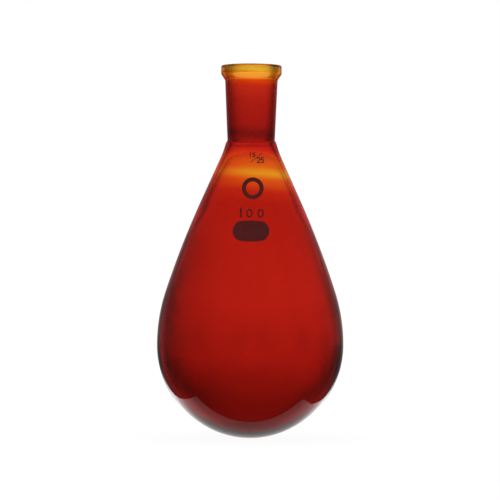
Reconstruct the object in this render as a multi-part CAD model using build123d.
from build123d import *
import math
import os

# Pear-shaped evaporating flask, 100 mL, one piece of blown glass with a ground socket 15/25.
# Frame: origin at the centre of the socket's mouth plane, +Z up out of the mouth. The body hangs below.
# All lengths in millimetres, all angles in degrees. A heading is measured from straight down (-Z), positive outwards.

# ---- driving dimensions ----
overall_h = 124.0          # mouth plane to the lowest point of the round bottom
body_r = 31.0              # outer radius at the equator of the round bottom
equator_band = 0.3         # short straight side between the round bottom and the arc above it
body_arc_r = 56.8          # outer meridian radius just above the equator
body_arc_heading = 18.15   # heading where that arc meets the long arc of the shoulder
shoulder_arc_r = 305.0     # outer meridian radius of the long, nearly straight shoulder arc
cone_heading = 24.25       # half angle of the straight cone under the neck

rim_r = 10.08              # rim bead, outer radius
rim_top_fillet = 0.6       # fire-polished outer edge of the rim
rim_straight_end = 2.5     # depth below the mouth plane where the bead's cylinder ends
rim_under_r = 1.3          # rounding under the bead's cylinder
rim_flank_heading = -33.0  # flank of the bead, running in to the neck
rim_neck_fillet = 1.6      # hollow between the flank and the neck

neck_r_at_10 = 8.53        # neck's outer radius 10 mm below the mouth plane
neck_heading = -2.5        # the neck narrows downwards with the socket inside it
neck_end = 24.75           # depth where the neck's straight side ends
seam_hollow_r = 0.7        # hollow at the fused seam under the neck
seam_heading = 36.0        # steepest heading on the seam's ridge
seam_ridge_r = 3.2         # rounding over the ridge
seam_out_heading = 15.0    # heading where the ridge runs out towards the cone

socket_large_d = 15.0      # standard taper 1:10, large end, in the mouth plane
socket_taper = 0.1         # on diameter
mouth_chamfer_r = 8.05     # outer radius of the chamfer round the mouth
mouth_chamfer_depth = 0.5
throat_r = 1.5             # rounding between the socket's small end and the body's inner cone

inner_r = 29.75            # inner radius at the equator (wall 1.25)
inner_bottom_wall = 1.6    # wall at the lowest point
inner_arc_r = 54.5         # inner meridian radius above the equator
inner_arc_heading = 18.0
inner_shoulder_r = 278.4   # inner meridian radius of the long shoulder arc

# ---- meridian helpers: a point is (r, z, heading) ----


def sin(a):
    return math.sin(math.radians(a))


def cos(a):
    return math.cos(math.radians(a))


def tan(a):
    return math.tan(math.radians(a))


def p3(r, z):
    return Vector(r, 0, z)


def arc_down(r, z, h1, h2, radius):
    """Arc that starts at (r, z) with heading h1 and runs down until its heading is h2. Returns the edge and its end."""
    s = 1 if h2 < h1 else -1
    cr, cz = r - s * radius * cos(h1), z - s * radius * sin(h1)
    hm = (h1 + h2) / 2
    mid = (cr + s * radius * cos(hm), cz + s * radius * sin(hm))
    end = (cr + s * radius * cos(h2), cz + s * radius * sin(h2))
    return ThreePointArc(p3(r, z), p3(*mid), p3(*end)), end


def arc_up(r, z, h1, h2, radius):
    """The same arc, walked upwards from (r, z), where the downward heading is h1, to where it is h2 (h2 > h1)."""
    cr, cz = r - radius * cos(h1), z - radius * sin(h1)
    hm = (h1 + h2) / 2
    mid = (cr + radius * cos(hm), cz + radius * sin(hm))
    end = (cr + radius * cos(h2), cz + radius * sin(h2))
    return ThreePointArc(p3(r, z), p3(*mid), p3(*end)), end


def meet(r1, z1, h1, r2, z2, h2):
    """Where the line through (r1, z1) with heading h1 meets the line through (r2, z2) with heading h2."""
    a1, b1, a2, b2 = sin(h1), -cos(h1), sin(h2), -cos(h2)
    det = a1 * -b2 + a2 * b1
    t = ((r2 - r1) * -b2 + a2 * (z2 - z1)) / det
    return r1 + a1 * t, z1 + b1 * t


# ---- outer side, from the rim down ----
edges = []
edges.append(Line(p3(mouth_chamfer_r, 0), p3(rim_r - rim_top_fillet, 0)))
q = rim_top_fillet * (1 - math.sqrt(0.5))
edges.append(ThreePointArc(p3(rim_r - rim_top_fillet, 0), p3(rim_r - q, -q), p3(rim_r, -rim_top_fillet)))
edges.append(Line(p3(rim_r, -rim_top_fillet), p3(rim_r, -rim_straight_end)))
e, flank = arc_down(rim_r, -rim_straight_end, 0, rim_flank_heading, rim_under_r)
edges.append(e)

nr, nz = neck_r_at_10, -10.0
kr, kz = meet(flank[0], flank[1], rim_flank_heading, nr, nz, neck_heading)
tl = rim_neck_fillet * tan((neck_heading - rim_flank_heading) / 2)
f1 = (kr - sin(rim_flank_heading) * tl, kz + cos(rim_flank_heading) * tl)
edges.append(Line(p3(*flank), p3(*f1)))
e, f2 = arc_down(f1[0], f1[1], rim_flank_heading, neck_heading, rim_neck_fillet)
edges.append(e)
neck_low = (nr + tan(neck_heading) * (neck_end - 10.0), -neck_end)
edges.append(Line(p3(*f2), p3(*neck_low)))

e, a = arc_down(neck_low[0], neck_low[1], neck_heading, seam_heading, seam_hollow_r)
edges.append(e)
e, b = arc_down(a[0], a[1], seam_heading, seam_out_heading, seam_ridge_r)
edges.append(e)

# the body, walked up from the equator of the round bottom
equator_z = -(overall_h - body_r)
band_z = equator_z + equator_band
up1, u1 = arc_up(body_r, band_z, 0, body_arc_heading, body_arc_r)
up2, u2 = arc_up(u1[0], u1[1], body_arc_heading, cone_heading, shoulder_arc_r)

# the run-out of the seam's ridge is the arc that ends tangent to the cone
off = (b[0] - u2[0]) * cos(cone_heading) + (b[1] - u2[1]) * sin(cone_heading)
runout_r = off / (1 - cos(cone_heading - seam_out_heading))
e, c = arc_down(b[0], b[1], seam_out_heading, cone_heading, runout_r)
edges.append(e)
edges.append(Line(p3(*c), p3(*u2)))
edges += [up2, up1, Line(p3(body_r, band_z), p3(body_r, equator_z))]
pole = (0.0, -overall_h)
edges.append(
    ThreePointArc(
        p3(body_r, equator_z),
        p3(body_r * cos(45), equator_z - body_r * sin(45)),
        p3(*pole),
    )
)

# ---- inner side, from the lowest point up to the mouth ----
inner_pole = (0.0, -(overall_h - inner_bottom_wall))
inner_equator_z = inner_pole[1] + inner_r
inner_band_z = inner_equator_z + equator_band
edges.append(Line(p3(*pole), p3(*inner_pole)))
edges.append(
    ThreePointArc(
        p3(*inner_pole),
        p3(inner_r * cos(45), inner_equator_z - inner_r * sin(45)),
        p3(inner_r, inner_equator_z),
    )
)
edges.append(Line(p3(inner_r, inner_equator_z), p3(inner_r, inner_band_z)))
e, v1 = arc_up(inner_r, inner_band_z, 0, inner_arc_heading, inner_arc_r)
edges.append(e)
e, v2 = arc_up(v1[0], v1[1], inner_arc_heading, cone_heading, inner_shoulder_r)
edges.append(e)

socket_heading = -math.degrees(math.atan(socket_taper / 2))
kr, kz = meet(v2[0], v2[1], cone_heading, socket_large_d / 2, 0.0, socket_heading)
tl = throat_r * tan((cone_heading - socket_heading) / 2)
t_low = (kr + sin(cone_heading) * tl, kz - cos(cone_heading) * tl)
t_high = (kr - sin(socket_heading) * tl, kz + cos(socket_heading) * tl)
edges.append(Line(p3(*v2), p3(*t_low)))
e, _ = arc_down(t_high[0], t_high[1], socket_heading, cone_heading, throat_r)
edges.append(e)
mouth = (socket_large_d / 2 - socket_taper / 2 * mouth_chamfer_depth, -mouth_chamfer_depth)
edges.append(Line(p3(*t_high), p3(*mouth)))
edges.append(Line(p3(*mouth), p3(mouth_chamfer_r, 0)))

section = Face(Wire(edges))
flask = revolve(section, Axis.Z, 360)
flask.label = "flask"

print("cone starts %.3f %.3f, ends %.3f %.3f, run-out radius %.2f" % (c[0], c[1], u2[0], u2[1], runout_r))
print("socket small end r %.3f at z %.3f" % t_high)
print("valid %s, volume %.0f mm3, mass at 2.23 g/cm3 %.1f g" % (flask.is_valid, flask.volume, flask.volume * 2.23e-3))

# space inside, up to the small end of the socket
cavity = revolve(
    Face(
        Wire(
            [
                Line(p3(0, inner_pole[1]), p3(0, t_high[1])),
                Line(p3(0, t_high[1]), p3(*t_high)),
                arc_down(t_high[0], t_high[1], socket_heading, cone_heading, throat_r)[0],
                Line(p3(*t_low), p3(*v2)),
                arc_up(v1[0], v1[1], inner_arc_heading, cone_heading, inner_shoulder_r)[0],
                arc_up(inner_r, inner_band_z, 0, inner_arc_heading, inner_arc_r)[0],
                Line(p3(inner_r, inner_band_z), p3(inner_r, inner_equator_z)),
                ThreePointArc(
                    p3(inner_r, inner_equator_z),
                    p3(inner_r * cos(45), inner_equator_z - inner_r * sin(45)),
                    p3(*inner_pole),
                ),
            ]
        )
    ),
    Axis.Z,
    360,
)
print("space inside below the socket %.0f mL" % (cavity.volume / 1000))

os.makedirs("parts", exist_ok=True)
export_step(flask, "parts/flask.step")
